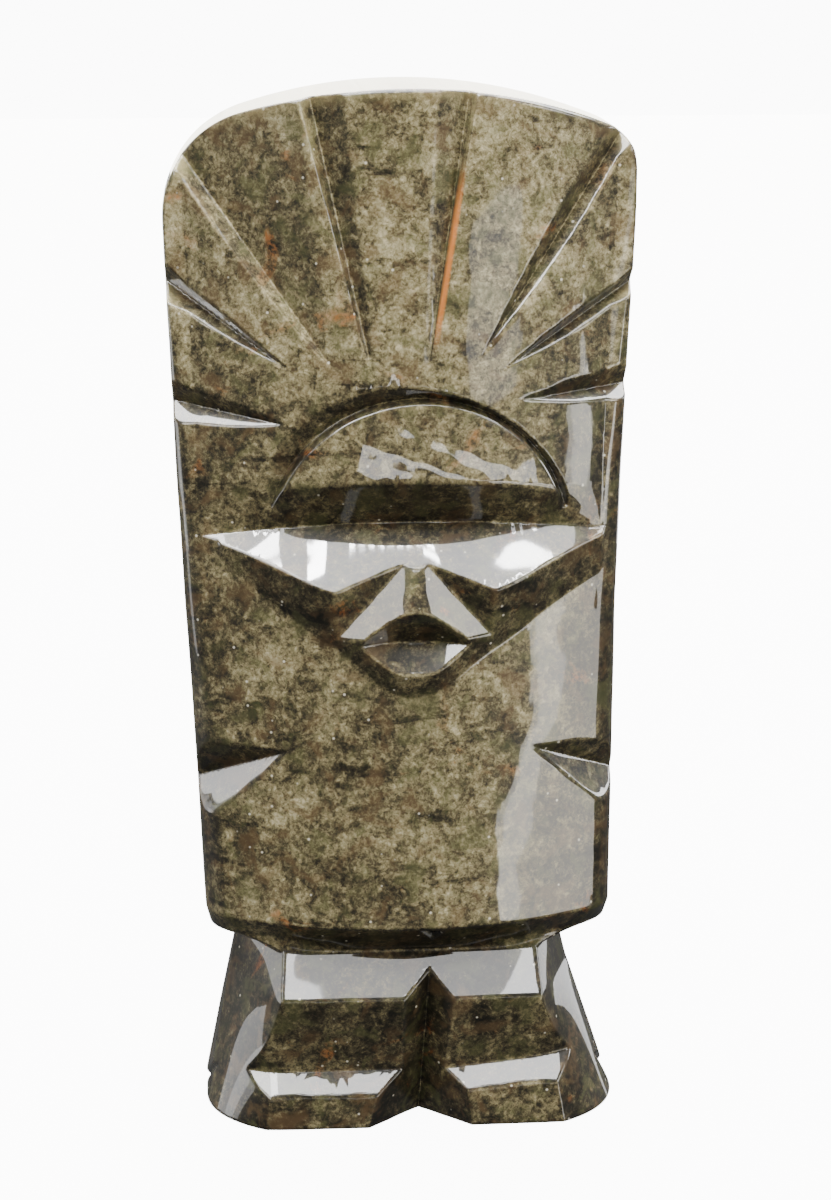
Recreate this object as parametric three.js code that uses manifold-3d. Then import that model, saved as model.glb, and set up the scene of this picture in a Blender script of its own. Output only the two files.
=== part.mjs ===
// A standing figure carved from one piece of obsidian: a fan headdress, a wedge face, a plain
// chest and a pair of block feet. Millimetres, Z up, the face looks along -Y, the underside is
// on z = 0. The blank is lofted through level sections, then wheel cuts are taken out of it.
import * as THREE from "three";
import { mergeVertices } from "three/addons/utils/BufferGeometryUtils.js";
import Module from "manifold-3d";

const wasm = await Module();
wasm.setup();

// Well outside the stone: for plates and slabs, and to each side for cuts that run across it.
const FAR = 40;
const PAST_SIDE = 28;

// Front of the blank: its place at the waist, how far it leans back for each millimetre of
// height, and how it rounds across. The back is nearly flat.
const WAIST_Z = 22.6;
const FRONT = { y: -12.85, lean: 0.0385, radius: 40 };
const BACK = { low: 10.6, high: 8, radius: 150 };

// Outline of the top from the front: a wide arc between two corner arcs.
const TOP = { z: 109.4, radius: 55 };
const TOP_LEFT = { edge: 24.95, radius: 12 };
const TOP_RIGHT = { edge: 23.95, radius: 5.5 };

// How the corner between the front and a side turns, as shares of the way across and back.
const ROUND_CORNER = [[0.45, 0.16], [0.8, 0.5]];
const FLAT_CORNER = [[0.45, 0.4], [0.8, 0.78]];

// Legs: height, half widths left and right, middle of the front, half width of the front face
// left and right and how far its ends fall back, where the side begins, and the back.
const LEG_LEVELS = [
  { z: 0, left: 21.9, right: 22.6, front: -12.6, face: [15.6, 16.4], fall: 0.25, side: -2.5, back: 12 },
  { z: 14.5, left: 19.1, right: 17.8, front: -12.25, face: [13.8, 13.8], fall: 0.15, side: 0, back: 10.4 },
  { z: 18.9, left: 18.3, right: 16.7, front: -8.85, face: [13.45, 13.45], fall: 0, side: 0, back: 8.8 },
  { z: 20.6, left: 21.1, right: 21.4, front: -10.7, face: [17.6, 17.6], fall: 3.3, side: -2.8, back: 10.2 },
];
const FLAT_CORNER_ABOVE = 10;
const FLAT_CORNER_BELOW = 20;

// Chest and headdress: height and half widths left and right.
const BODY_WIDTHS = [
  [WAIST_Z, 21.6, 21.9], [38, 22.2, 22], [54, 23.1, 22.1], [71, 23.9, 22.5],
  [84, 24.4, 23.1], [97, 24.95, 23.8], [TOP.z + 2, 24.95, 23.95],
];
const BODY_SIDE = { y: -3.2, falls: 0.5 };
const BODY_CORNER = 2.15;

// How a side turns into the back: points by their distance in from the side and from the back.
const BACK_CORNER = [[0.1, 7], [0.8, 4], [2.2, 1.9]];
const BACK_INSET = 4.6;

// Groove over the face: its upper wall hangs over, its lower wall is the brow. Its bottom line
// bends back and droops towards the sides, each by a radius. The upper wall always ends at one
// rise over the bottom line, so it lies flatter where the groove runs out.
const BROW = { x: 0.4, z: 65.2, depth: 3.8, radius: 113, droop: 155, rise: 4.9, down: 0.97 };
const BROW_LEAST_DEPTH = 0.35;

// Arched groove round the crown, from start degrees over the level on each side. Its outer wall
// has its width per depth at the right end, the top and the left end.
const CROWN = {
  x: 1, z: 62.7, radius: 15.7, depth: 1.3, start: 14, inner: 0.35, outer: [1.2, 0.9, 5],
};

// Rays of the fan: inner end, end at the rim, depth at the rim, and the width per depth of the
// walls clockwise and anticlockwise of the bottom line.
const RAYS = [
  { inner: [-13, 75.8], rim: [-23.6, 77.2], depth: 1.4, after: 1.1, before: 1.1 },
  { inner: [-12.6, 81.6], rim: [-24, 89.2], depth: 1.4, after: 0.6, before: 1 },
  { inner: [-8.2, 82], rim: [-22.7, 102.4], depth: 1.7, after: 2.2, before: 0.9 },
  { inner: [-3.7, 80.4], rim: [-10, 109], depth: 1.8, after: 1.5, before: 0.8 },
  { inner: [1.6, 80.8], rim: [6.2, 109.2], depth: 1.8, after: 0.45, before: 1.7 },
  { inner: [6.6, 81.8], rim: [21.9, 104.2], depth: 1.6, after: 1.3, before: 0.7 },
  { inner: [8.8, 80.9], rim: [22.6, 88.8], depth: 1.5, after: 0.9, before: 0.6 },
  { inner: [10.6, 78], rim: [22.6, 78.6], depth: 1.8, after: 0.9, before: 1.3 },
];

// Face: the block that it is cut from, which ends a little below the bottom of the groove over
// it, and the foot of a cheek on the chest from the chin to the end of the brow, each point with
// the slope in degrees of the cheek that starts there.
const FACE = { x: 0.4, y: -11, width: 44, thick: 14, underGroove: 1.2, underChin: 2 };
const CHEEK_FOOT = [
  [0, 47.2, 30], [3.4, 48.5, 30], [10.7, 54.3, 36], [16.5, 58.5, 26],
  [19.9, 60.9, 72], [20.6, 67, 72],
];
const NOSE = { topZ: 62.3, topY: -11.15, ridgeZ: 54.2, ridgeY: -14.5, foot: 8.3, over: 0.4 };
const CHIN = { y: -11.8, z: 47.2 };
const EYE = { top: [0.5, -11.1, 62.4], foot: [7.7, -11.4, 54.3], nose: 1.5, cheek: 2 };
const MOUTH = { z: 53.3, radius: 11, depth: 3.7, wall: 1.4 };

// Notches under the arms, given for the left side: inner end and a point at the outer end.
const ARM = { inner: [-12.7, -10.1, 41.6], outer: [-22.5, -2.2, 36.8], up: 2.4, down: 0.95 };

// Cuts over the feet, the notch between them and the one behind each foot.
const ANKLE_LEFT = { z: 5.9, rise: 0 };
const ANKLE_RIGHT = { z: 5.5, rise: 0.11 };
const ANKLE = { y: -10.4, bendFrom: 12, bendRadius: 13, foot: 1, shinTop: [-12.25, 14.5] };
const ANKLES_MEET_X = 1.3;
const PARTING = { low: [1, -7.2, 0], high: [1.85, -9.7, 14.5], wall: 1.06 };
const HEEL = { front: [20.4, -6.2, 5.6], back: [21.5, 3.4, 0], wall: 1.2, facing: [1, -0.2, 0] };

const vec = (x, y, z) => new THREE.Vector3(x, y, z);
const OUTWARD = vec(0, -1, 0);

const frontFall = (x) => FRONT.radius - Math.sqrt(FRONT.radius ** 2 - x ** 2);
const frontY = (x, z) => FRONT.y + FRONT.lean * (z - WAIST_Z) + frontFall(x);
const onFront = (x, z, depth = 0) => vec(x, frontY(x, z) + depth, z);

function manifoldOf(positions, indices) {
  return new wasm.Manifold(new wasm.Mesh({
    numProp: 3,
    vertProperties: Float32Array.from(positions),
    triVerts: Uint32Array.from(indices),
  }));
}

function fromGeometry(geometry) {
  geometry.deleteAttribute("normal");
  geometry.deleteAttribute("uv");
  const welded = mergeVertices(geometry, 1e-5);
  return manifoldOf(welded.getAttribute("position").array, welded.index.array);
}

// A closed body through convex rings of the same number of points, with flat ends.
function loft(rings) {
  const count = rings[0].length;
  const triangles = [];
  for (let r = 0; r + 1 < rings.length; r += 1) {
    for (let i = 0; i < count; i += 1) {
      const a = r * count + i;
      const b = r * count + ((i + 1) % count);
      triangles.push([a, b, b + count], [a, b + count, a + count]);
    }
  }
  const last = (rings.length - 1) * count;
  for (let i = 1; i + 1 < count; i += 1) {
    triangles.push([0, i + 1, i], [last, last + i, last + i + 1]);
  }
  const points = rings.flat();
  const volume = triangles.reduce((sum, [a, b, c]) =>
    sum + points[a].dot(points[b].clone().cross(points[c])), 0);
  const facing = volume > 0 ? triangles : triangles.map(([a, b, c]) => [a, c, b]);
  return manifoldOf(points.flatMap((p) => p.toArray()), facing.flat());
}

// One level section as a ring of points, from the middle of the front round by the right.
function sectionRing(level) {
  const frontSteps = 9;
  const backSteps = 4;
  const backFall = (x) => BACK.radius - Math.sqrt(BACK.radius ** 2 - x ** 2);
  const half = (width, face) => {
    const points = [];
    for (let i = 0; i <= frontSteps; i += 1) {
      points.push([(face * i) / frontSteps, level.front + level.fall * (i / frontSteps) ** 2]);
    }
    const endY = level.front + level.fall;
    for (const [across, along] of level.corner) {
      points.push([face + (width - face) * across, endY + (level.side - endY) * along]);
    }
    points.push([width, level.side]);
    points.push(...BACK_CORNER.map(([inward, forward]) => [width - inward, level.back - forward]));
    for (let i = backSteps; i > 0; i -= 1) {
      const x = ((width - BACK_INSET) * i) / backSteps;
      points.push([x, level.back - backFall(x)]);
    }
    return points;
  };
  const right = half(level.right, level.face[1]);
  const left = half(level.left, level.face[0]).slice(1).reverse();
  return [
    ...right.map(([x, y]) => vec(x, y, level.z)),
    vec(0, level.back, level.z),
    ...left.map(([x, y]) => vec(-x, y, level.z)),
  ];
}

function blank() {
  const legs = LEG_LEVELS.map((level) => {
    const flat = level.z > FLAT_CORNER_ABOVE && level.z < FLAT_CORNER_BELOW;
    return { ...level, corner: flat ? FLAT_CORNER : ROUND_CORNER };
  });
  const body = BODY_WIDTHS.map(([z, left, right]) => {
    const share = (z - WAIST_Z) / (TOP.z - WAIST_Z);
    return {
      z, left, right,
      front: frontY(0, z),
      face: [left - BODY_CORNER, right - BODY_CORNER],
      fall: frontFall((left + right) / 2 - BODY_CORNER),
      side: BODY_SIDE.y + BODY_SIDE.falls * share,
      back: BACK.low + (BACK.high - BACK.low) * share,
      corner: ROUND_CORNER,
    };
  });
  return loft([...legs, ...body].map(sectionRing)).intersect(frontOutline());
}

// A thick plate with the outline of the top, wider than the stone everywhere below.
function frontOutline() {
  const centreZ = TOP.z - TOP.radius;
  const corner = ({ edge, radius }) => {
    const x = edge - radius;
    return { x, z: centreZ + Math.sqrt((TOP.radius - radius) ** 2 - x ** 2), radius, edge };
  };
  const right = corner(TOP_RIGHT);
  const left = corner(TOP_LEFT);
  const meet = ({ x, z }) => Math.atan2(z - centreZ, x);
  const shape = new THREE.Shape();
  shape.moveTo(-left.edge - 1, -FAR);
  shape.lineTo(right.edge + 1, -FAR);
  shape.lineTo(right.edge + 1, right.z - FAR / 4);
  shape.lineTo(right.edge, right.z - FAR / 4);
  shape.absarc(right.x, right.z, right.radius, 0, meet(right));
  shape.absarc(0, centreZ, TOP.radius, meet(right), Math.PI - meet(left));
  shape.absarc(-left.x, left.z, left.radius, Math.PI - meet(left), Math.PI);
  shape.lineTo(-left.edge, left.z - FAR / 4);
  shape.lineTo(-left.edge - 1, left.z - FAR / 4);
  shape.closePath();
  const plate = new THREE.ExtrudeGeometry(shape, {
    depth: 2 * FAR, bevelEnabled: false, curveSegments: 18,
  });
  plate.rotateX(Math.PI / 2);
  plate.translate(0, FAR, 0);
  return fromGeometry(plate);
}

// A cut by the edge of a grinding wheel, swept through stations. Each gives the bottom of the
// cut and its two walls, drawn out past the surface of the stone.
function wheelCut(stations) {
  return loft(stations.map(({ bottom, wallA, wallB }) => [
    bottom,
    bottom.clone().add(wallA),
    bottom.clone().add(wallB),
  ]));
}

// A straight wheel cut along a line, drawn out past both ends. Its walls are given as sideways
// steps per depth: wall A is on the side that along x facing points to, wall B on the other.
function straightCut({ from, to, facing = OUTWARD, a, b, reach = 9, past = [8, 8] }) {
  const along = to.clone().sub(from).normalize();
  const out = facing.clone().addScaledVector(along, -along.dot(facing)).normalize();
  const side = vec(0, 0, 0).crossVectors(along, out);
  const wallA = out.clone().addScaledVector(side, a).multiplyScalar(reach);
  const wallB = out.clone().addScaledVector(side, -b).multiplyScalar(reach);
  return wheelCut([
    { bottom: from.clone().addScaledVector(along, -past[0]), wallA, wallB },
    { bottom: to.clone().addScaledVector(along, past[1]), wallA, wallB },
  ]);
}

function fanRays() {
  return RAYS.map(({ inner, rim, depth, after, before }) => straightCut({
    from: onFront(...inner), to: onFront(...rim, depth), a: after, b: before, past: [0.5, 8],
  }));
}

function crownGroove() {
  const stations = [];
  const reach = 3.5;
  const steps = 28;
  const start = THREE.MathUtils.degToRad(CROWN.start);
  const [right, top, left] = CROWN.outer;
  for (let i = 0; i <= steps; i += 1) {
    const share = i / steps;
    const outer = right * (1 - share) * (1 - 2 * share) + 4 * top * share * (1 - share)
      + left * share * (2 * share - 1);
    const angle = start + (Math.PI - 2 * start) * share;
    const x = CROWN.x + CROWN.radius * Math.cos(angle);
    const z = CROWN.z + CROWN.radius * Math.sin(angle);
    const away = vec(Math.cos(angle), 0, Math.sin(angle));
    stations.push({
      bottom: onFront(x, z, CROWN.depth),
      wallA: OUTWARD.clone().addScaledVector(away, outer).multiplyScalar(reach),
      wallB: OUTWARD.clone().addScaledVector(away, -CROWN.inner).multiplyScalar(reach),
    });
  }
  return wheelCut(stations);
}

// A groove across the front. For each place along it, line gives the bottom and a point where
// the upper wall leaves the stone; the lower wall falls by a step per depth.
function crossGroove(fromX, toX, line, down) {
  const steps = 28;
  const [pastEdge, reach] = [1.6, 16];
  const rings = [];
  for (let i = 0; i <= steps; i += 1) {
    const { bottom, edge } = line(fromX + ((toX - fromX) * i) / steps);
    const past = bottom.clone().lerp(edge, pastEdge);
    rings.push([
      bottom, past, past.clone().addScaledVector(OUTWARD, reach),
      vec(bottom.x, bottom.y - reach, bottom.z - down * reach),
    ]);
  }
  return loft(rings);
}

function browGroove() {
  const line = (x) => {
    const y = frontY(0, BROW.z) + BROW.depth + x ** 2 / (2 * BROW.radius);
    const z = BROW.z - (x - BROW.x) ** 2 / (2 * BROW.droop);
    const top = z + BROW.rise;
    const bottom = vec(x, y, z);
    return { bottom, edge: vec(x, Math.min(frontY(x, top), y - BROW_LEAST_DEPTH), top) };
  };
  return crossGroove(-PAST_SIDE, PAST_SIDE, line, BROW.down);
}

// Everything on one side of a plane, as a slab wide enough to trim the figure.
function beyond(point, normal) {
  const slab = new THREE.BoxGeometry(3 * FAR, 3 * FAR, FAR);
  slab.translate(0, 0, FAR / 2);
  slab.applyQuaternion(new THREE.Quaternion().setFromUnitVectors(vec(0, 0, 1), normal));
  slab.translate(point.x, point.y, point.z);
  return fromGeometry(slab);
}

// The raised face before the eyes and mouth: cheeks rise from their foot on the chest, the
// chin falls back from the ridge of the nose.
function faceShield() {
  const low = CHIN.z - FACE.underChin;
  const high = BROW.z - FACE.underGroove;
  const block = new THREE.BoxGeometry(FACE.width, FACE.thick, high - low);
  block.translate(FACE.x, FACE.y, (high + low) / 2);
  let shield = fromGeometry(block);
  for (const side of [-1, 1]) {
    for (let i = 0; i + 1 < CHEEK_FOOT.length; i += 1) {
      const [from, to] = [CHEEK_FOOT[i], CHEEK_FOOT[i + 1]].map(([x, z]) =>
        onFront(FACE.x + side * x, z));
      const slope = THREE.MathUtils.degToRad(CHEEK_FOOT[i][2]);
      const along = to.clone().sub(from).normalize();
      const away = vec(0, 0, 0).crossVectors(along, OUTWARD).multiplyScalar(side).normalize();
      const front = vec(0, 0, 0).crossVectors(along, away).normalize();
      front.multiplyScalar(-Math.sign(front.y));
      const normal = front.multiplyScalar(Math.cos(slope)).addScaledVector(away, Math.sin(slope));
      shield = shield.subtract(beyond(from, normal.normalize()));
    }
  }
  const ridge = vec(FACE.x, NOSE.ridgeY, NOSE.ridgeZ);
  const chin = vec(FACE.x, CHIN.y, CHIN.z);
  const chinNormal = vec(0, chin.z - ridge.z, ridge.y - chin.y).normalize();
  return shield.subtract(beyond(ridge, chinNormal));
}

// Stone in front of the flat of the nose, between the lines of the eyes.
function noseFront() {
  const tilt = (NOSE.ridgeY - NOSE.topY) / (NOSE.ridgeZ - NOSE.topZ);
  const place = (x, z) => vec(FACE.x + x, NOSE.topY + tilt * (z - NOSE.topZ), z);
  const top = place(0, NOSE.topZ + NOSE.over);
  const triangle = [top, place(-NOSE.foot, NOSE.ridgeZ), place(NOSE.foot, NOSE.ridgeZ)];
  return loft([triangle, triangle.map((p) => vec(p.x, -FAR, p.z))]);
}

function eyeCuts() {
  return [-1, 1].map((side) => {
    const [top, foot] = [EYE.top, EYE.foot].map(([x, y, z]) => vec(FACE.x + side * x, y, z));
    const [a, b] = side < 0 ? [EYE.nose, EYE.cheek] : [EYE.cheek, EYE.nose];
    return straightCut({ from: foot, to: top, a, b, past: [4, 2] });
  });
}

// The mouth is cut by the sharp rim of a wheel that lies level.
function mouthCut() {
  const half = MOUTH.radius * MOUTH.wall;
  const profile = [[0, -half], [MOUTH.radius, 0], [0, half]];
  const wheel = new THREE.LatheGeometry(profile.map((p) => new THREE.Vector2(...p)), 64);
  wheel.rotateX(Math.PI / 2);
  const y = NOSE.ridgeY + MOUTH.depth - MOUTH.radius;
  wheel.translate(FACE.x, y, MOUTH.z);
  return fromGeometry(wheel);
}

function armNotches() {
  return [-1, 1].map((side) => {
    const [inner, outer] = [ARM.inner, ARM.outer].map(([x, y, z]) => vec(-side * x, y, z));
    const [a, b] = side < 0 ? [ARM.up, ARM.down] : [ARM.down, ARM.up];
    return straightCut({ from: inner, to: outer, a, b, past: [3, 8] });
  });
}

function feetCuts() {
  const ankle = ({ z, rise }, fromX, toX) => {
    const line = (x) => {
      const bend = Math.max(Math.abs(x) - ANKLE.bendFrom, 0) ** 2 / (2 * ANKLE.bendRadius);
      return {
        bottom: vec(x, ANKLE.y + Math.min(bend, ANKLE.bendFrom / 2), z + rise * x),
        edge: vec(x, ...ANKLE.shinTop),
      };
    };
    return crossGroove(fromX, toX, line, ANKLE.foot);
  };
  const heels = [-1, 1].map((side) => {
    const [front, back] = [HEEL.front, HEEL.back].map(([x, y, z]) => vec(side * x, y, z));
    const facing = vec(...HEEL.facing).multiply(vec(side, 1, 1)).normalize();
    return straightCut({ from: front, to: back, facing, a: HEEL.wall, b: HEEL.wall, past: [1, 6] });
  });
  return [
    ankle(ANKLE_LEFT, -PAST_SIDE, ANKLES_MEET_X),
    ankle(ANKLE_RIGHT, ANKLES_MEET_X, PAST_SIDE),
    straightCut({
      from: vec(...PARTING.low), to: vec(...PARTING.high), a: PARTING.wall, b: PARTING.wall,
    }),
    ...heels,
  ];
}

function carve() {
  const cuts = [
    noseFront(), ...eyeCuts(), mouthCut(), browGroove(), crownGroove(), ...fanRays(),
    ...armNotches(), ...feetCuts(),
  ];
  return cuts.reduce((stone, cut) => stone.subtract(cut), blank().add(faceShield()));
}

const figure = new THREE.Group();
figure.name = "obsidian_figure";

const { vertProperties, triVerts } = carve().getMesh();
const welded = new THREE.BufferGeometry();
welded.setAttribute("position", new THREE.BufferAttribute(new Float32Array(vertProperties), 3));
welded.setIndex(new THREE.BufferAttribute(new Uint32Array(triVerts), 1));
const geometry = welded.toNonIndexed();
geometry.computeBoundingBox();
const { min, max } = geometry.boundingBox;
geometry.translate(-(min.x + max.x) / 2, -(min.y + max.y) / 2, -min.z);
geometry.computeVertexNormals();

const stone = new THREE.MeshStandardMaterial({ color: 0x5a5236, roughness: 0.1, metalness: 0 });
const carving = new THREE.Mesh(geometry, stone);
carving.name = "carved_figure";
figure.add(carving);

export default figure;
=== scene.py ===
import math
import bpy
import numpy as np
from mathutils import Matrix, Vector


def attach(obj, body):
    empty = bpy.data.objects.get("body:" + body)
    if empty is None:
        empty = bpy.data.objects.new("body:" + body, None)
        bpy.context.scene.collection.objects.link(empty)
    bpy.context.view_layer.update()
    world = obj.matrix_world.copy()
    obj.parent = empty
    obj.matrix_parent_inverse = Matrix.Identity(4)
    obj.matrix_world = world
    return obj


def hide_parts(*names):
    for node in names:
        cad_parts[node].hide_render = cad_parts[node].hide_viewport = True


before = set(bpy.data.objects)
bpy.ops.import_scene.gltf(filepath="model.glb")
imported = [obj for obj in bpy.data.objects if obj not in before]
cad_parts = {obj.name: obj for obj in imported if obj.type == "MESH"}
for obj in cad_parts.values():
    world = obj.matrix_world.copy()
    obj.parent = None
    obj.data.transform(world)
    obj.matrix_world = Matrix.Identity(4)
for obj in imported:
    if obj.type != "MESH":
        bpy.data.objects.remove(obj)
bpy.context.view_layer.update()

# A small standing figure carved from one piece of polished obsidian with gold flakes. Lengths
# in the stone's sections are millimetres in the carver's frame, whose middle line is x = 0, and
# MOVE brings them into the part's frame.

# The viewpoint. The figure is seen from a little above and turned four degrees, from about
# 30 cm away.
MOVE = np.array([0.537, 0.703, 0.0])
EYE_POINT = Vector((-19.73, -299.35, 131.0))
AIM_POINT = Vector((1.2, 0.0, 55.0))
LENS_MM = 87.3

camera_data = bpy.data.cameras.new("viewpoint")
camera_data.lens = LENS_MM
camera_data.sensor_width = 36.0
camera_data.clip_start = 0.01
camera_data.clip_end = 20.0
camera = bpy.data.objects.new("viewpoint", camera_data)
bpy.context.scene.collection.objects.link(camera)
camera.location = (EYE_POINT + Vector(MOVE)) * 0.001
camera.rotation_euler = (AIM_POINT - EYE_POINT).to_track_quat("-Z", "Y").to_euler()
bpy.context.scene.camera = camera

# The blank. One block of obsidian, sawn, ground to a rounded front and a nearly flat back and
# then polished. It is wide at the headdress, narrow at the neck of the waist and flares again
# to the feet.
WAIST_Z = 22.6
FRONT = dict(y=-12.85, lean=0.0385, radius=40.0)
BACK = dict(low=10.6, high=8.0, radius=150.0)
TOP = dict(z=109.4, radius=55.0)
TOP_CORNERS = [(-1, 24.95, 12.0), (1, 23.95, 5.5)]
ROUND_CORNER = [(0.40, 0.14), (1.0, 0.45)]
FLAT_CORNER = [(0.33, 0.29), (0.70, 0.66)]
LEG_LEVELS = [
    dict(z=0.0, half=(21.9, 22.6), front=-12.6, face=(15.6, 16.4), fall=0.25, side=-2.5, back=12.0,
         corner=ROUND_CORNER),
    dict(z=14.5, half=(19.1, 17.8), front=-12.25, face=(13.8, 13.8), fall=0.15, side=0.0,
         back=10.4, corner=FLAT_CORNER),
    dict(z=18.9, half=(18.3, 16.7), front=-8.85, face=(13.45, 13.45), fall=0.0, side=0.0,
         back=8.8, corner=FLAT_CORNER),
    dict(z=20.6, half=(21.1, 21.4), front=-10.7, face=(17.6, 17.6), fall=3.3, side=-2.8,
         back=10.2, corner=ROUND_CORNER),
]
BODY_WIDTHS = [
    (WAIST_Z, 21.6, 21.9), (38.0, 22.2, 22.0), (54.0, 23.1, 22.1), (71.0, 23.9, 22.5),
    (84.0, 24.4, 23.1), (97.0, 24.95, 23.8), (TOP["z"] + 2, 24.95, 23.95),
]
BODY_SIDE_Y = -3.2
BODY_CORNER = 2.15
OUTLINE_ARRIS = 0.55
UNDERSIDE_ARRIS = 0.4


def arc_fall(x, radius):
    return radius - np.sqrt(radius ** 2 - x ** 2)


def front_y(x, z):
    return FRONT["y"] + FRONT["lean"] * (z - WAIST_Z) + arc_fall(x, FRONT["radius"])


def on_front(x, z, depth=0.0):
    return np.array([x, front_y(x, z) + depth, z])


def bezier(points, count):
    t = np.linspace(0, 1, count, endpoint=False)[:, None]
    a, b, c, d = (np.array(p, float) for p in points)
    return (1 - t) ** 3 * a + 3 * (1 - t) ** 2 * t * b + 3 * (1 - t) * t ** 2 * c + t ** 3 * d


def half_section(level, side):
    """Half of a level section, from the middle of the front round to the middle of the back."""
    width, face = level["half"][side], level["face"][side]
    end_y = level["front"] + level["fall"]
    drop, across = level["side"] - end_y, width - face
    t = np.linspace(0, 1, 50, endpoint=False)
    front = np.stack([face * t, level["front"] + level["fall"] * t ** 2], 1)
    turn = [(face + across * u, end_y + drop * v) for u, v in [(0, 0), *level["corner"], (1, 1)]]
    back, radius = level["back"], BACK["radius"]
    start, end = back - 7.6, width - 4.9
    flank = np.stack([np.full(20, width), np.linspace(level["side"], start, 20, endpoint=False)], 1)
    heel = bezier([(width, start), (width, back - 4.0), (width - 1.9, back - 0.35),
                   (end, back - arc_fall(end, radius))], 40)
    x = end * (1 - np.linspace(0, 1, 30))
    rear = np.stack([x, back - arc_fall(x, radius)], 1)
    return np.concatenate([front, bezier(turn, 40), flank, heel, rear])


def level_section(level):
    right, left = half_section(level, 1), half_section(level, 0)
    return np.concatenate([right, (left * [-1, 1])[::-1][1:-1]])


def body_level(z, left, right):
    share = (z - WAIST_Z) / (TOP["z"] - WAIST_Z)
    return dict(
        z=z, half=(left, right), front=front_y(0.0, z), face=(left - BODY_CORNER, right - BODY_CORNER),
        fall=arc_fall((left + right) / 2 - BODY_CORNER, FRONT["radius"]),
        side=BODY_SIDE_Y + 0.5 * share, back=BACK["low"] + (BACK["high"] - BACK["low"]) * share,
        corner=ROUND_CORNER)


class Blank:
    """The blank as a table of radii round its middle axis, for each height and bearing."""
    AXIS_Y = -1.0
    Z_STEP, Z_LOW, Z_HIGH = 0.1, -2.0, 112.0
    BEARINGS = 1440

    def __init__(self):
        levels = LEG_LEVELS + [body_level(*row) for row in BODY_WIDTHS]
        heights = np.array([level["z"] for level in levels])
        outlines = np.stack([level_section(level) for level in levels])
        self.z = np.arange(self.Z_LOW, self.Z_HIGH, self.Z_STEP)
        self.turn = 2 * np.pi / self.BEARINGS
        bearings = np.arange(self.BEARINGS) * self.turn - np.pi
        table = np.empty((len(self.z), self.BEARINGS))
        for row, z in enumerate(self.z):
            i = int(np.clip(np.searchsorted(heights, z) - 1, 0, len(heights) - 2))
            share = np.clip((z - heights[i]) / (heights[i + 1] - heights[i]), 0, 1)
            ring = outlines[i] * (1 - share) + outlines[i + 1] * share
            angle = np.arctan2(ring[:, 0], -(ring[:, 1] - self.AXIS_Y))
            radius = np.hypot(ring[:, 0], ring[:, 1] - self.AXIS_Y)
            order = np.argsort(angle)
            table[row] = np.interp(bearings, angle[order], radius[order], period=2 * np.pi)
        offsets = np.arange(-4, 5) * self.Z_STEP
        weights = np.exp(-0.5 * (offsets / 0.16) ** 2)
        weights /= weights.sum()
        padded = np.pad(table, ((4, 4), (0, 0)), mode="edge")
        self.radius = sum(w * padded[k:k + len(table)] for k, w in enumerate(weights))
        by_z, by_turn = np.gradient(self.radius, self.Z_STEP, self.turn)
        self.scale = 1 / np.sqrt(1 + by_z ** 2 + (by_turn / self.radius) ** 2)

    def lookup(self, table, row, column):
        i = np.clip(row.astype(np.int32), 0, len(self.z) - 2)
        j = column.astype(np.int32)
        u, v = row - i, column - j
        j, k = j % self.BEARINGS, (j + 1) % self.BEARINGS
        low = table[i, j] * (1 - v) + table[i, k] * v
        return low * (1 - u) + (table[i + 1, j] * (1 - v) + table[i + 1, k] * v) * u

    def distance(self, x, y, z):
        dy = y - self.AXIS_Y
        column = (np.arctan2(x, -dy) + np.pi) / self.turn
        row = (z - self.Z_LOW) / self.Z_STEP
        gap = np.hypot(x, dy) - self.lookup(self.radius, row, column)
        return gap * self.lookup(self.scale, row, column)


blank = Blank()


def outline_distance(x, z):
    """How far a point is outside the figure's top, seen from the front."""
    centre_z = TOP["z"] - TOP["radius"]
    gap = np.hypot(x, z - centre_z) - TOP["radius"]
    for side, edge, radius in TOP_CORNERS:
        cx = edge - radius
        cz = centre_z + math.sqrt((TOP["radius"] - radius) ** 2 - cx ** 2)
        meet = math.atan2(cz - centre_z, cx)
        dx, dz = side * x - cx, z - cz
        angle = np.arctan2(dz, dx)
        corner = np.hypot(dx, dz) - radius
        gap = np.where((side * x > 0) & (angle < meet) & (angle >= 0), corner, gap)
        gap = np.where((side * x > 0) & (angle < 0), side * x - edge, gap)
    return gap


# The carving. Every cut is made by the edge of a grinding wheel: two flat walls that meet in a
# fine root. The polish takes the arrises down to a fraction of a millimetre, unevenly.
ARRIS = 0.2
ROOT = 0.1
OUT = np.array([0.0, -1.0, 0.0])
BROW = dict(x=0.4, z=65.2, depth=3.8, radius=113.0, droop=155.0, rise=4.9, down=0.97, least=0.35)
CROWN = dict(x=1.0, z=62.7, radius=15.7, depth=1.3, inner=0.35, outer=(1.2, 0.9, 5.0), start=14.0)
DOME = dict(above=76.0, radius=150.0)
RAYS = [
    ((-13.0, 75.8), (-23.6, 77.2), 1.4, 1.1, 1.1),
    ((-12.6, 81.6), (-24.0, 89.2), 1.4, 0.6, 1.0),
    ((-8.2, 82.0), (-22.7, 102.4), 1.7, 2.2, 0.9),
    ((-3.7, 80.4), (-10.0, 109.0), 1.8, 1.5, 0.8),
    ((1.6, 80.8), (6.2, 109.2), 1.8, 0.45, 1.7),
    ((6.6, 81.8), (21.9, 104.2), 1.6, 1.3, 0.7),
    ((8.8, 80.9), (22.6, 88.8), 1.5, 0.9, 0.6),
    ((10.6, 78.0), (22.6, 78.6), 1.8, 0.9, 1.3),
]
FACE_X = 0.4
FACE_WIDTH = 44.0
CHEEK_FOOT = [(0.0, 47.2, 30.0), (3.4, 48.5, 30.0), (10.7, 54.3, 36.0), (16.5, 58.5, 26.0),
              (19.9, 60.9, 72.0), (20.6, 67.0, 72.0)]
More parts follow.
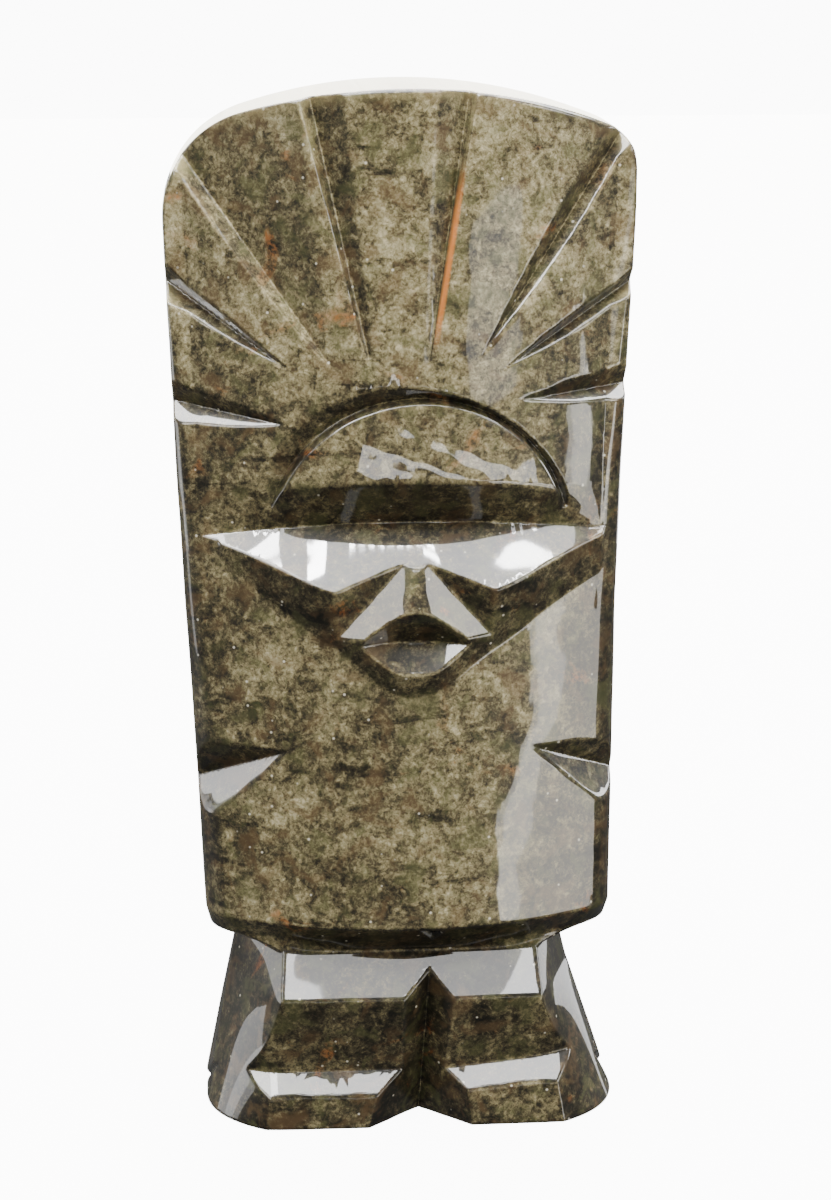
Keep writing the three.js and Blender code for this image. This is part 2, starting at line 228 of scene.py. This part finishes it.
NOSE = dict(top_z=62.3, top_y=-11.15, ridge_z=54.2, ridge_y=-14.5, foot=8.3)
CHIN = dict(y=-11.8, z=47.2)
EYE = dict(top=(0.5, -11.1, 62.4), foot=(7.7, -11.4, 54.3), nose=1.5, cheek=2.0)
MOUTH = dict(z=53.3, radius=11.0, depth=3.7, wall=1.4)
ARM = dict(inner=(-12.7, -10.1, 41.6), outer=(-22.5, -2.2, 36.8), up=2.4, down=0.95)
ANKLES = [(5.9, 0.0), (5.5, 0.11)]
ANKLE = dict(y=-10.4, bend_from=12.0, bend_radius=13.0, foot=1.0, shin_top=(-12.25, 14.5))
PARTING = dict(low=(1.0, -7.2, 0.0), high=(1.85, -9.7, 14.5), wall=1.06)
HEEL = dict(front=(20.4, -6.2, 5.6), back=(21.5, 3.4, 0.0), wall=1.2)


def rounded_max(a, b, radius):
    corner = np.hypot(np.maximum(a + radius, 0), np.maximum(b + radius, 0))
    return np.minimum(-radius, np.maximum(a, b)) + corner


def rounded_min(a, b, radius):
    return -rounded_max(-a, -b, radius)


def unit(vector):
    return np.asarray(vector, float) / np.linalg.norm(vector)


def wedge(side, out, a, b):
    """The wheel's edge: how far a point is from it, given its place across and out of the cut."""
    return rounded_max((side - a * out) / np.hypot(1, a), (-side - b * out) / np.hypot(1, b), ROOT)


def straight_cut(start, end, a, b, facing=OUT, past=(8.0, 8.0)):
    start, end = np.array(start, float), np.array(end, float)
    along = unit(end - start)
    out = unit(facing - along * (along @ facing))
    side = np.cross(along, out)
    length = np.linalg.norm(end - start)

    def distance(x, y, z):
        d = (x - start[0], y - start[1], z - start[2])
        s, o, t = (d[0] * v[0] + d[1] * v[1] + d[2] * v[2] for v in (side, out, along))
        return np.maximum(wedge(s, o, a, b), np.maximum(-past[0] - t, t - length - past[1]))
    return distance


def crown_groove(x, y, z):
    dx, dz = x - CROWN["x"], z - CROWN["z"]
    reach, angle = np.hypot(dx, dz), np.arctan2(dz, dx)
    start = math.radians(CROWN["start"])
    bearing = np.clip(angle, start, math.pi - start)
    foot_x = CROWN["x"] + CROWN["radius"] * np.cos(bearing)
    foot_z = CROWN["z"] + CROWN["radius"] * np.sin(bearing)
    out = front_y(foot_x, foot_z) + CROWN["depth"] - y
    ends = np.abs(angle - math.pi / 2) - (math.pi / 2 - start)
    share = (bearing - start) / (math.pi - 2 * start)
    right, top, left = CROWN["outer"]
    outer = (right * (1 - share) * (1 - 2 * share) + 4 * top * share * (1 - share)
             + left * share * (2 * share - 1))
    return np.maximum(wedge(reach - CROWN["radius"], out, outer, CROWN["inner"]), ends * reach)


def dome_roll(x, y, z):
    """Inside the crown groove the front rolls back a little towards the groove over the face."""
    fall = np.maximum(DOME["above"] - z, 0) ** 2 / (2 * DOME["radius"])
    inside = CROWN["radius"] - np.hypot(x - CROWN["x"], z - CROWN["z"])
    return np.maximum(np.maximum(y - front_y(x, z) - fall, -inside), BROW["z"] - z)


def brow_groove(x, y, z):
    """Its upper wall ends at one rise over the bottom line, so it lies flatter at the ends."""
    bottom_y = front_y(0.0, BROW["z"]) + BROW["depth"] + x ** 2 / (2 * BROW["radius"])
    bottom_z = BROW["z"] - (x - BROW["x"]) ** 2 / (2 * BROW["droop"])
    depth = np.maximum(bottom_y - front_y(x, bottom_z + BROW["rise"]), BROW["least"])
    return wedge(z - bottom_z, bottom_y - y, BROW["rise"] / depth, BROW["down"])


def plane(point, normal):
    return lambda x, y, z: ((x - point[0]) * normal[0] + (y - point[1]) * normal[1]
                            + (z - point[2]) * normal[2])


def face_planes():
    planes = []
    for side in (-1, 1):
        for (x0, z0, slope), (x1, z1, _) in zip(CHEEK_FOOT, CHEEK_FOOT[1:]):
            start = on_front(FACE_X + side * x0, z0)
            along = unit(on_front(FACE_X + side * x1, z1) - start)
            away = unit(side * np.cross(along, OUT))
            front = unit(np.cross(along, away))
            front *= -np.sign(front[1])
            angle = math.radians(slope)
            planes.append(plane(start, unit(front * math.cos(angle) + away * math.sin(angle))))
    rise, run = CHIN["z"] - NOSE["ridge_z"], NOSE["ridge_y"] - CHIN["y"]
    planes.append(plane((FACE_X, NOSE["ridge_y"], NOSE["ridge_z"]), unit((0, rise, run))))
    return planes


FACE_PLANES = face_planes()


def face_shield(x, y, z):
    gap = np.maximum(np.abs(x - FACE_X) - FACE_WIDTH / 2, np.abs(y + 11) - 7)
    gap = np.maximum(gap, np.maximum(z - BROW["z"] + 1.2, CHEEK_FOOT[0][1] - 2 - z))
    for face in FACE_PLANES:
        gap = rounded_max(gap, face(x, y, z), ARRIS)
    return gap


def nose_front(x, y, z):
    tilt = (NOSE["ridge_y"] - NOSE["top_y"]) / (NOSE["ridge_z"] - NOSE["top_z"])
    front = (y - NOSE["top_y"] - tilt * (z - NOSE["top_z"])) / math.hypot(1, tilt)
    height = NOSE["top_z"] + 0.4 - NOSE["ridge_z"]
    flank = np.abs(x - FACE_X) - NOSE["foot"] * (NOSE["top_z"] + 0.4 - z) / height
    flank = flank / math.hypot(1, NOSE["foot"] / height)
    return np.maximum(front, np.maximum(flank, NOSE["ridge_z"] - z))


def eye_cut(side):
    top, foot = ((FACE_X + side * x, y, z) for x, y, z in (EYE["top"], EYE["foot"]))
    walls = (EYE["nose"], EYE["cheek"]) if side < 0 else (EYE["cheek"], EYE["nose"])
    return straight_cut(foot, top, *walls, past=(4.0, 2.0))


def mouth_cut(x, y, z):
    centre_y = NOSE["ridge_y"] + MOUTH["depth"] - MOUTH["radius"]
    out = MOUTH["radius"] - np.hypot(x - FACE_X, y - centre_y)
    return wedge(z - MOUTH["z"], out, MOUTH["wall"], MOUTH["wall"])


def arm_notch(side):
    inner, outer = ((-side * x, y, z) for x, y, z in (ARM["inner"], ARM["outer"]))
    walls = (ARM["up"], ARM["down"]) if side < 0 else (ARM["down"], ARM["up"])
    return straight_cut(inner, outer, *walls, past=(3.0, 8.0))


def ankle_cut(side):
    height, rise = ANKLES[side > 0]
    middle = PARTING["low"][0] + 0.3

    def distance(x, y, z):
        bend = np.maximum(np.abs(x) - ANKLE["bend_from"], 0) ** 2 / (2 * ANKLE["bend_radius"])
        bottom_y = ANKLE["y"] + np.minimum(bend, ANKLE["bend_from"] / 2)
        bottom_z = height + rise * x
        edge_y, edge_z = ANKLE["shin_top"]
        shin = (edge_z - bottom_z) / (bottom_y - edge_y)
        cut = wedge(z - bottom_z, bottom_y - y, shin, ANKLE["foot"])
        return np.maximum(cut, side * (middle - x))
    return distance


def heel_cut(side):
    front, back = ((side * x, y, z) for x, y, z in (HEEL["front"], HEEL["back"]))
    return straight_cut(front, back, HEEL["wall"], HEEL["wall"], past=(1.0, 6.0),
                        facing=unit((side, -0.2, 0)))


# Each cut with the heights between which it can touch the stone.
FACE_HEIGHTS = (44.0, 67.0)
CUTS = [
    (nose_front, FACE_HEIGHTS), (eye_cut(-1), FACE_HEIGHTS), (eye_cut(1), FACE_HEIGHTS),
    (mouth_cut, FACE_HEIGHTS), (dome_roll, (60.0, 76.0)),
    (brow_groove, (52.0, 80.0)), (crown_groove, (60.0, 84.0)),
    *((straight_cut(on_front(*inner), on_front(*rim, depth), after, before, past=(0.5, 8.0)),
       (72.0, 112.0)) for inner, rim, depth, after, before in RAYS),
    (arm_notch(-1), (25.0, 60.0)), (arm_notch(1), (25.0, 60.0)),
    (ankle_cut(-1), (0.0, 24.0)), (ankle_cut(1), (0.0, 24.0)),
    (straight_cut(PARTING["low"], PARTING["high"], PARTING["wall"], PARTING["wall"]), (-2.0, 24.0)),
    (heel_cut(-1), (-2.0, 16.0)), (heel_cut(1), (-2.0, 16.0)),
]

# Slow waves left by polishing by hand: height in mm, how many fit in 2 pi mm each way, start.
WAVES = [
    (0.045, (0.21, 0.10, 0.06), 1.9), (0.020, (-0.16, 0.12, 0.20), 0.6),
    (0.010, (0.35, 0.20, 0.46), 0.4), (0.008, (-0.52, 0.31, 0.30), 2.1),
    (0.005, (0.74, -0.25, -0.58), 4.4), (0.003, (-0.21, 0.60, 1.02), 1.3),
]


def waves(x, y, z):
    return sum(h * np.sin(kx * x + ky * y + kz * z + start) for h, (kx, ky, kz), start in WAVES)


def stone(x, y, z):
    """How far a point is outside the carved stone, in millimetres, roughly."""
    low, high = z.min(), z.max()
    ripple = waves(x, y, z)
    gap = rounded_max(blank.distance(x, y, z) + ripple, outline_distance(x, z), OUTLINE_ARRIS)
    gap = rounded_max(gap, -z, UNDERSIDE_ARRIS)
    if low < FACE_HEIGHTS[1] and high > FACE_HEIGHTS[0]:
        gap = rounded_min(gap, face_shield(x, y, z), ROOT)
    arris = ARRIS * (1 + 0.35 * np.sin(1.3 * x + 0.7 * z) * np.sin(1.1 * z - 0.6 * x + y))
    for cut, (bottom, top) in CUTS:
        if low < top and high > bottom:
            gap = rounded_max(gap, -cut(x, y, z) - 0.6 * ripple, arris)
    return gap


def in_slabs(function, points, *args):
    """Calls a function on points sorted by height, a slab at a time."""
    order = np.argsort(points[:, 2], kind="stable")
    result = None
    for part in np.array_split(order, max(1, len(points) // 20000)):
        value = function(points[part], *args)
        if result is None:
            result = np.empty((len(points), *value.shape[1:]))
        result[part] = value
    return result


def gap_and_slope(points, step=0.06):
    gap = stone(*points.T)
    slope = np.empty_like(points)
    for axis in range(3):
        shift = np.zeros(3)
        shift[axis] = step
        slope[:, axis] = (stone(*(points + shift).T) - stone(*(points - shift).T)) / (2 * step)
    return np.column_stack([gap, slope])


def onto_surface(points, rounds):
    for _ in range(rounds):
        found = in_slabs(gap_and_slope, points)
        gap, slope = found[:, :1], found[:, 1:]
        steep = np.maximum((slope ** 2).sum(1, keepdims=True), 0.09)
        points = points - np.clip(gap / steep, -0.3, 0.3) * slope
    return points


def skin(step, low, high):
    """The stone's surface as one point in each grid cell that it crosses, joined in fours."""
    axes = [np.arange(a, b + step, step) for a, b in zip(low, high)]
    shape = tuple(len(a) for a in axes)
    field = np.empty(shape, np.float32)
    slab = 12
    gx, gy = np.meshgrid(axes[0], axes[1], indexing="ij")
    for k in range(0, shape[2], slab):
        z = axes[2][k:k + slab]
        x3, y3 = gx[..., None] + 0 * z, gy[..., None] + 0 * z
        field[:, :, k:k + slab] = stone(x3, y3, z + np.zeros_like(x3))
    inside = field < 0
    cells = np.prod(shape)
    strides = np.array([shape[1] * shape[2], shape[2], 1])
    origin = np.array([a[0] for a in axes])
    total, count, fours = np.zeros((cells, 3)), np.zeros(cells), []
    for axis in range(3):
        others = [a for a in range(3) if a != axis]
        near = [slice(None)] * 3
        far = [slice(None)] * 3
        near[axis], far[axis] = slice(0, -1), slice(1, None)
        crossing = np.argwhere(inside[tuple(near)] != inside[tuple(far)])
        start = crossing @ strides
        a = field.ravel()[start]
        b = field.ravel()[start + strides[axis]]
        place = origin + crossing * step
        place[:, axis] += step * a / (a - b)
        corners = [start - i * strides[others[0]] - j * strides[others[1]]
                   for i, j in ((0, 0), (1, 0), (1, 1), (0, 1))]
        for cell in corners:
            for c in range(3):
                total[:, c] += np.bincount(cell, place[:, c], cells)
            count += np.bincount(cell, minlength=cells)
        four = np.stack(corners, 1)
        flip = (a > 0) ^ (axis == 1)
        fours.append(np.where(flip[:, None], four[:, ::-1], four))
    used = np.flatnonzero(count)
    number = np.full(cells, -1)
    number[used] = np.arange(len(used))
    return total[used] / count[used, None], number[np.concatenate(fours)]


GRID = 0.22
points, fours = skin(GRID, (-25.6, -15.4, -0.9), (25.0, 12.9, 110.2))
points = onto_surface(points, 2)

figure_mesh = bpy.data.meshes.new("carved_stone")
figure_mesh.from_pydata(((points + MOVE) * 0.001).tolist(), [], fours.tolist())
figure_mesh.update()
figure = bpy.data.objects.new("carved_stone", figure_mesh)
bpy.context.scene.collection.objects.link(figure)
MOST_TRIANGLES = 190000
thin = figure.modifiers.new("thin", "DECIMATE")
thin.ratio = min(1.0, MOST_TRIANGLES / (2 * len(fours)))
bpy.context.view_layer.objects.active = figure
figure.select_set(True)
bpy.ops.object.modifier_apply(modifier="thin")

flat = np.empty(3 * len(figure_mesh.vertices))
figure_mesh.vertices.foreach_get("co", flat)
points = onto_surface(flat.reshape(-1, 3) * 1000 - MOVE, 2)
figure_mesh.vertices.foreach_set("co", ((points + MOVE) * 0.001).ravel())
slope = in_slabs(gap_and_slope, points)[:, 1:]
normals = slope / np.linalg.norm(slope, axis=1, keepdims=True)
for name, probe in (("arris", 0.45), ("thin", 2.5)):
    below = in_slabs(lambda p: stone(*p.T)[:, None], points - normals * probe)[:, 0]
    layer = figure_mesh.attributes.new(name, "FLOAT", "POINT")
    layer.data.foreach_set("value", np.clip(1 + below / probe, 0, 1).astype(np.float32))
figure_mesh.polygons.foreach_set("use_smooth", np.ones(len(figure_mesh.polygons), bool))
figure_mesh.normals_split_custom_set_from_vertices(normals.tolist())
figure_mesh.update()

# The stone's colour: dark olive glass full of fine flakes, with black bands and a few rusty spots.
# Painted light: a yellow sheen painted in where the surface runs along the flakes' layers, painted
# shade on faces turned away from them, painted glints and a warm glow painted in the thin edges.
FLAKE_COLOURS = [
    (0.36, (0.008, 0.007, 0.004)), (0.44, (0.034, 0.028, 0.016)), (0.50, (0.106, 0.088, 0.046)),
    (0.57, (0.300, 0.252, 0.128)), (0.68, (0.72, 0.63, 0.38)),
]
OLIVE = (0.130, 0.134, 0.052)
BROWN = (0.180, 0.112, 0.052)
RUST = (0.42, 0.12, 0.02)
PAINTED_EDGE_LIGHT = (0.62, 0.52, 0.24)
SHEENLESS_DARK_GLASS = (0.016, 0.014, 0.009)
COPPER = (0.80, 0.27, 0.06)
STREAK = dict(x=-10.5, lean=0.162)

stuff = bpy.data.materials.new("obsidian")
stuff.use_nodes = True
nodes, links = stuff.node_tree.nodes, stuff.node_tree.links
glass = nodes["Principled BSDF"]


def add_node(kind, inputs=(), **settings):
    node = nodes.new("ShaderNode" + kind)
    for key, value in settings.items():
        setattr(node, key, value)
    for socket, value in dict(inputs).items():
        if isinstance(value, bpy.types.NodeSocket):
            links.new(value, node.inputs[socket])
        else:
            node.inputs[socket].default_value = value
    return node


def maths(operation, a, b=0.0, clamp=False):
    return add_node("Math", {0: a, 1: b}, operation=operation, use_clamp=clamp).outputs[0]


def between(value, low, high):
    """0 where value is at low, 1 where it is at high, smooth between."""
    return add_node("MapRange", {"Value": value, "From Min": low, "From Max": high},
                    interpolation_type="SMOOTHSTEP").outputs["Result"]


def mixed(share, a, b, blend="MIX"):
    node = add_node("Mix", data_type="RGBA", blend_type=blend)
    wanted = [s for s in node.inputs if s.enabled]
    for socket, value in zip(wanted, (share, a, b)):
        if isinstance(value, bpy.types.NodeSocket):
            links.new(value, socket)
        elif isinstance(value, tuple):
            socket.default_value = (*value, 1)
        else:
            socket.default_value = value
    return next(s for s in node.outputs if s.enabled)


def noise(coordinates, scale, detail=3.0, rough=0.5, twist=0.0):
    return add_node("TexNoise", {"Vector": coordinates, "Scale": scale, "Detail": detail,
                                 "Roughness": rough, "Distortion": twist}).outputs["Fac"]


place = add_node("TexCoord").outputs["Object"]
in_mm = add_node("Mapping", {"Vector": place, "Scale": (1000, 1000, 1000)}).outputs["Vector"]
banded = add_node("Mapping", {"Vector": in_mm, "Rotation": (0, 0.12, 0), "Scale": (0.13, 0.13, 0.55)}
                  ).outputs["Vector"]
clumps = noise(in_mm, 0.70, 5.0, 0.62, 0.6)
specks = noise(in_mm, 2.6, 4.0, 0.7, 0.6)
grain = maths("ADD", maths("MULTIPLY", clumps, 0.5), maths("MULTIPLY", specks, 0.5))
height = add_node("SeparateXYZ", {0: in_mm}).outputs["Z"]
tints = noise(in_mm, 0.30, 3.0, 0.6, 0.5)
clouds = noise(in_mm, 0.11, 3.0, 0.55, 0.5)
bands = noise(banded, 1.0, 4.0, 0.6, 0.4)
rust_spots = noise(in_mm, 0.16, 4.0, 0.6, 0.8)
facing = add_node("NewGeometry").outputs["Normal"]
facing_y = add_node("SeparateXYZ", {0: facing}).outputs["Y"]
# Painted sheen: how squarely the surface runs along the flake layers sets how much sheen is painted
# in.
painted_sheen_facing = between(maths("ABSOLUTE", facing_y), 0.80, 0.98)
arris = add_node("Attribute", attribute_name="arris").outputs["Fac"]
thinness = add_node("Attribute", attribute_name="thin").outputs["Fac"]

tone = maths("ADD", maths("MULTIPLY", grain, 0.81), maths("MULTIPLY", clouds, 0.25))
tone = maths("SUBTRACT", tone, maths("MULTIPLY", between(bands, 0.56, 0.72), 0.09))
tone = maths("SUBTRACT", tone, maths("MULTIPLY", between(height, 24.0, 12.0), 0.045))
tone = maths("ADD", tone, maths("MULTIPLY", between(height, 70.0, 90.0), 0.040))
# Painted shade: faces turned away from the layers are painted a little darker.
tone = maths("SUBTRACT", tone, maths("MULTIPLY", maths("SUBTRACT", 1.0, painted_sheen_facing), 0.07))
ramp = add_node("ValToRGB", {"Fac": tone})
ramp.color_ramp.elements.remove(ramp.color_ramp.elements[1])
for n, (stop, colour) in enumerate(FLAKE_COLOURS):
    element = ramp.color_ramp.elements[0] if n == 0 else ramp.color_ramp.elements.new(stop)
    element.position, element.color = stop, (*colour, 1)
colour = ramp.outputs["Color"]
colour = mixed(maths("MULTIPLY", between(tints, 0.52, 0.66), 0.45), colour, OLIVE)
colour = mixed(maths("MULTIPLY", between(tints, 0.48, 0.34), 0.45), colour, BROWN)
rusty = maths("MULTIPLY", between(rust_spots, 0.62, 0.74), between(grain, 0.42, 0.6))
colour = mixed(maths("MULTIPLY", rusty, 0.8), colour, RUST)
# Painted glints: a few flakes are painted in as pale bright flecks, whatever the light.
flakes = add_node("TexVoronoi", {"Vector": in_mm, "Scale": 0.8})
painted_glint = maths("MULTIPLY", between(flakes.outputs["Distance"], 0.16, 0.06),
              between(add_node("SeparateColor", {0: flakes.outputs["Color"]}).outputs[0], 0.80, 0.84))
colour = mixed(painted_glint, colour, (0.85, 0.8, 0.65))
# Painted shade where the sheen doesn't show: faces turned from the layers are mixed towards dark
# glass.
sheenless_painted_shade = maths("MULTIPLY", maths("SUBTRACT", 1.0, painted_sheen_facing), 0.18)
colour = mixed(sheenless_painted_shade, colour, SHEENLESS_DARK_GLASS)
# Painted light: thin edges and arrises, most of all along the top rim, are painted warm and pale as if
# lit through the stone; none near the floor.
painted_edge_light = maths("MULTIPLY", between(thinness, 0.35, 0.95), 0.30)
painted_rim_light = maths("ADD", maths("MULTIPLY", between(height, 92.0, 106.0), 0.30), 0.25)
painted_edge_light = maths("ADD", painted_edge_light, maths("MULTIPLY", between(arris, 0.2, 0.8), painted_rim_light), clamp=True)
painted_edge_light = maths("MULTIPLY", painted_edge_light, between(height, 1.5, 5.0))
colour = mixed(painted_edge_light, colour, PAINTED_EDGE_LIGHT)
place_mm = add_node("SeparateXYZ", {0: in_mm})
streak_x = maths("ADD", maths("MULTIPLY", place_mm.outputs["Z"], STREAK["lean"]), STREAK["x"])
off_streak = maths("ABSOLUTE", maths("SUBTRACT", place_mm.outputs["X"], streak_x))
streak = maths("MULTIPLY", between(off_streak, 0.42, 0.12), between(height, 83.0, 88.0))
streak = maths("MULTIPLY", streak, between(height, 103.0, 96.0))
streak = maths("MULTIPLY", streak, between(facing_y, 0.0, -0.1))
colour = mixed(maths("MULTIPLY", streak, 0.85), colour, COPPER)
links.new(colour, glass.inputs["Base Color"])
links.new(maths("ADD", maths("MULTIPLY", clouds, 0.12), 0.33), glass.inputs["Roughness"])
glass.inputs["Metallic"].default_value = 0.0
glass.inputs["IOR"].default_value = 1.5
glass.inputs["Specular IOR Level"].default_value = 0.2
glass.inputs["Coat Weight"].default_value = 1.0
glass.inputs["Coat Roughness"].default_value = 0.025
glass.inputs["Coat IOR"].default_value = 1.55
figure_mesh.materials.append(stuff)
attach(figure, "root")
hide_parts("carved_figure")

# The floor. A pale, evenly lit sweep of paper under and behind the figure, which the polish
# doesn't mirror.
floor_mesh = bpy.data.meshes.new("floor")
FLOOR = dict(half=6.0, front=-6.0, back=3.0, sweep=1.5, top=6.0)
profile = [(FLOOR["front"], 0.0)]
for n in range(13):
    turn = math.radians(7.5 * n)
    profile.append((FLOOR["back"] + FLOOR["sweep"] * math.sin(turn),
                    FLOOR["sweep"] * (1 - math.cos(turn))))
profile.append((FLOOR["back"] + FLOOR["sweep"], FLOOR["top"]))
floor_mesh.from_pydata(
    [(side * FLOOR["half"], y, z) for y, z in profile for side in (-1, 1)], [],
    [(2 * n, 2 * n + 1, 2 * n + 3, 2 * n + 2) for n in range(len(profile) - 1)])
floor = bpy.data.objects.new("floor", floor_mesh)
bpy.context.scene.collection.objects.link(floor)
floor_paint = bpy.data.materials.new("floor_paint")
floor_paint.use_nodes = True
paint = floor_paint.node_tree.nodes["Principled BSDF"]
paint.inputs["Base Color"].default_value = (0.25, 0.25, 0.25, 1)
paint.inputs["Roughness"].default_value = 1.0
paint.inputs["Specular IOR Level"].default_value = 0.0
paint.inputs["Emission Color"].default_value = (1, 1, 1, 1)
paint.inputs["Emission Strength"].default_value = 11.0
floor_mesh.materials.append(floor_paint)
floor.visible_glossy = False
floor.visible_diffuse = False

world = bpy.data.worlds.new("studio")
bpy.context.scene.world = world
world.use_nodes = True
background = world.node_tree.nodes["Background"]
rays = world.node_tree.nodes.new("ShaderNodeLightPath")
mix = world.node_tree.nodes.new("ShaderNodeMapRange")
world.node_tree.links.new(rays.outputs["Is Camera Ray"], mix.inputs["Value"])
mix.inputs["To Min"].default_value = 0.10
mix.inputs["To Max"].default_value = 11.0
world.node_tree.links.new(mix.outputs["Result"], background.inputs["Strength"])
background.inputs["Color"].default_value = (1, 1, 1, 1)

# The lamps. A ceiling of soft panels with a row of bulbs and a few brighter ones, a window to
# the right, and cards round the figure that show in the polish of the walls of its cuts.
TARGET = Vector((0, 0, 0.055))


def soft_box(name, azimuth, elevation, distance, width, height, radiance, colour=(1, 1, 1),
             lights_stone=True, roll=0.0):
    """A flat lamp that faces the figure. Azimuth 0 is in front, 90 to the right.

    One that doesn't light the stone only shows in its polish.
    """
    lamp_data = bpy.data.lights.new(name, "AREA")
    lamp_data.shape = "RECTANGLE"
    lamp_data.size, lamp_data.size_y = width, height
    lamp_data.energy = radiance * math.pi * width * height
    lamp_data.color = colour
    lamp = bpy.data.objects.new(name, lamp_data)
    bpy.context.scene.collection.objects.link(lamp)
    a, e = math.radians(azimuth), math.radians(elevation)
    way = Vector((math.sin(a) * math.cos(e), -math.cos(a) * math.cos(e), math.sin(e)))
    lamp.location = TARGET + way * distance
    lamp.rotation_euler = (-way).to_track_quat("-Z", "Y").to_euler()
    lamp.rotation_euler.rotate_axis("Z", math.radians(roll))
    lamp.visible_camera = False
    lamp.visible_diffuse = lights_stone
    return lamp


CEILING = 0.585


def ceiling_lamp(name, x, y, width, depth, radiance, drop=0.0, turn=0.0):
    """A lamp that hangs level over the figure, x to its right and -y in front of it."""
    lamp = soft_box(name, 0, 90, CEILING, width, depth, radiance)
    lamp.location = TARGET + Vector((x, y, CEILING - drop))
    lamp.rotation_euler = (0, 0, math.radians(turn))


SMALL_DROP = 0.010
ceiling_lamp("ceiling", 0.0, -0.035, 0.56, 0.33, 12.0)
ceiling_lamp("ceiling_back", 0.0, 0.08, 0.3, 0.10, 16.0, SMALL_DROP)
ceiling_lamp("ceiling_front", 0.03, -0.29, 0.5, 0.10, 19.0)
ceiling_lamp("ceiling_slope", 0.05, -0.49, 0.16, 0.09, 7.0)
ceiling_lamp("slope_left", 0.002, -0.49, 0.024, 0.09, 16.0, SMALL_DROP)
ceiling_lamp("slope_right", 0.105, -0.49, 0.03, 0.09, 16.0, SMALL_DROP)
ceiling_lamp("wedge_left", -0.167, -0.110, 0.06, 0.012, 110.0, SMALL_DROP)
ceiling_lamp("wedge_right", 0.187, -0.1192, 0.10, 0.008, 110.0, SMALL_DROP, 19.0)
ceiling_lamp("spot_left", -0.0885, -0.122, 0.026, 0.009, 180.0, SMALL_DROP)
ceiling_lamp("spot_right", 0.066, -0.1250, 0.016, 0.0018, 180.0, SMALL_DROP)
for n in range(9):
    ceiling_lamp(f"bulb_{n}", -0.038 + 0.0131 * n, -0.125 + 0.00034 * n, 0.008, 0.0015, 200.0,
                 SMALL_DROP)
WARM = (1.0, 0.97, 0.90)
soft_box("wall", 180, 16, 1.2, 2.4, 0.8, 7.0, (1.0, 0.95, 0.80))
soft_box("wall_high", 180, 50, 0.8, 0.8, 0.35, 18.0)
soft_box("window", 50.2, -16.6, 0.9, 0.516, 0.221, 6.0, WARM, roll=24.4)
soft_box("window_core", 48.2, -12.2, 0.88, 0.516, 0.045, 4.0, WARM, roll=24.4)
soft_box("window_top", 33, -2, 0.9, 0.25, 0.07, 2.5)
soft_box("window_high", 58, 24, 0.9, 0.3, 0.3, 11.0, WARM)
soft_box("side_lamp", -52, 28, 0.9, 0.3, 0.25, 11.0, WARM)
soft_box("high_right", 101, 51, 0.9, 0.45, 0.38, 22.0, lights_stone=False)
soft_box("high_left", -70, 56, 0.9, 0.6, 0.38, 26.0, lights_stone=False)
soft_box("left_card", -98, -8, 0.7, 0.14, 0.2, 2.5)
soft_box("card_left", -102, 2, 0.85, 0.5, 0.45, 2.6)
soft_box("card_back_left", -128, 9, 0.85, 0.3, 0.2, 9.0, lights_stone=False)
soft_box("card_right", 104, 8, 0.85, 0.3, 0.13, 16.0, lights_stone=False)
soft_box("card_low_left", -103, 20, 0.85, 0.2, 0.08, 9.0, lights_stone=False)
soft_box("card_back_right", 139, -9, 0.85, 0.25, 0.12, 3.0)
soft_box("low_strip", 17, -9, 0.9, 1.0, 0.036, 8.0)
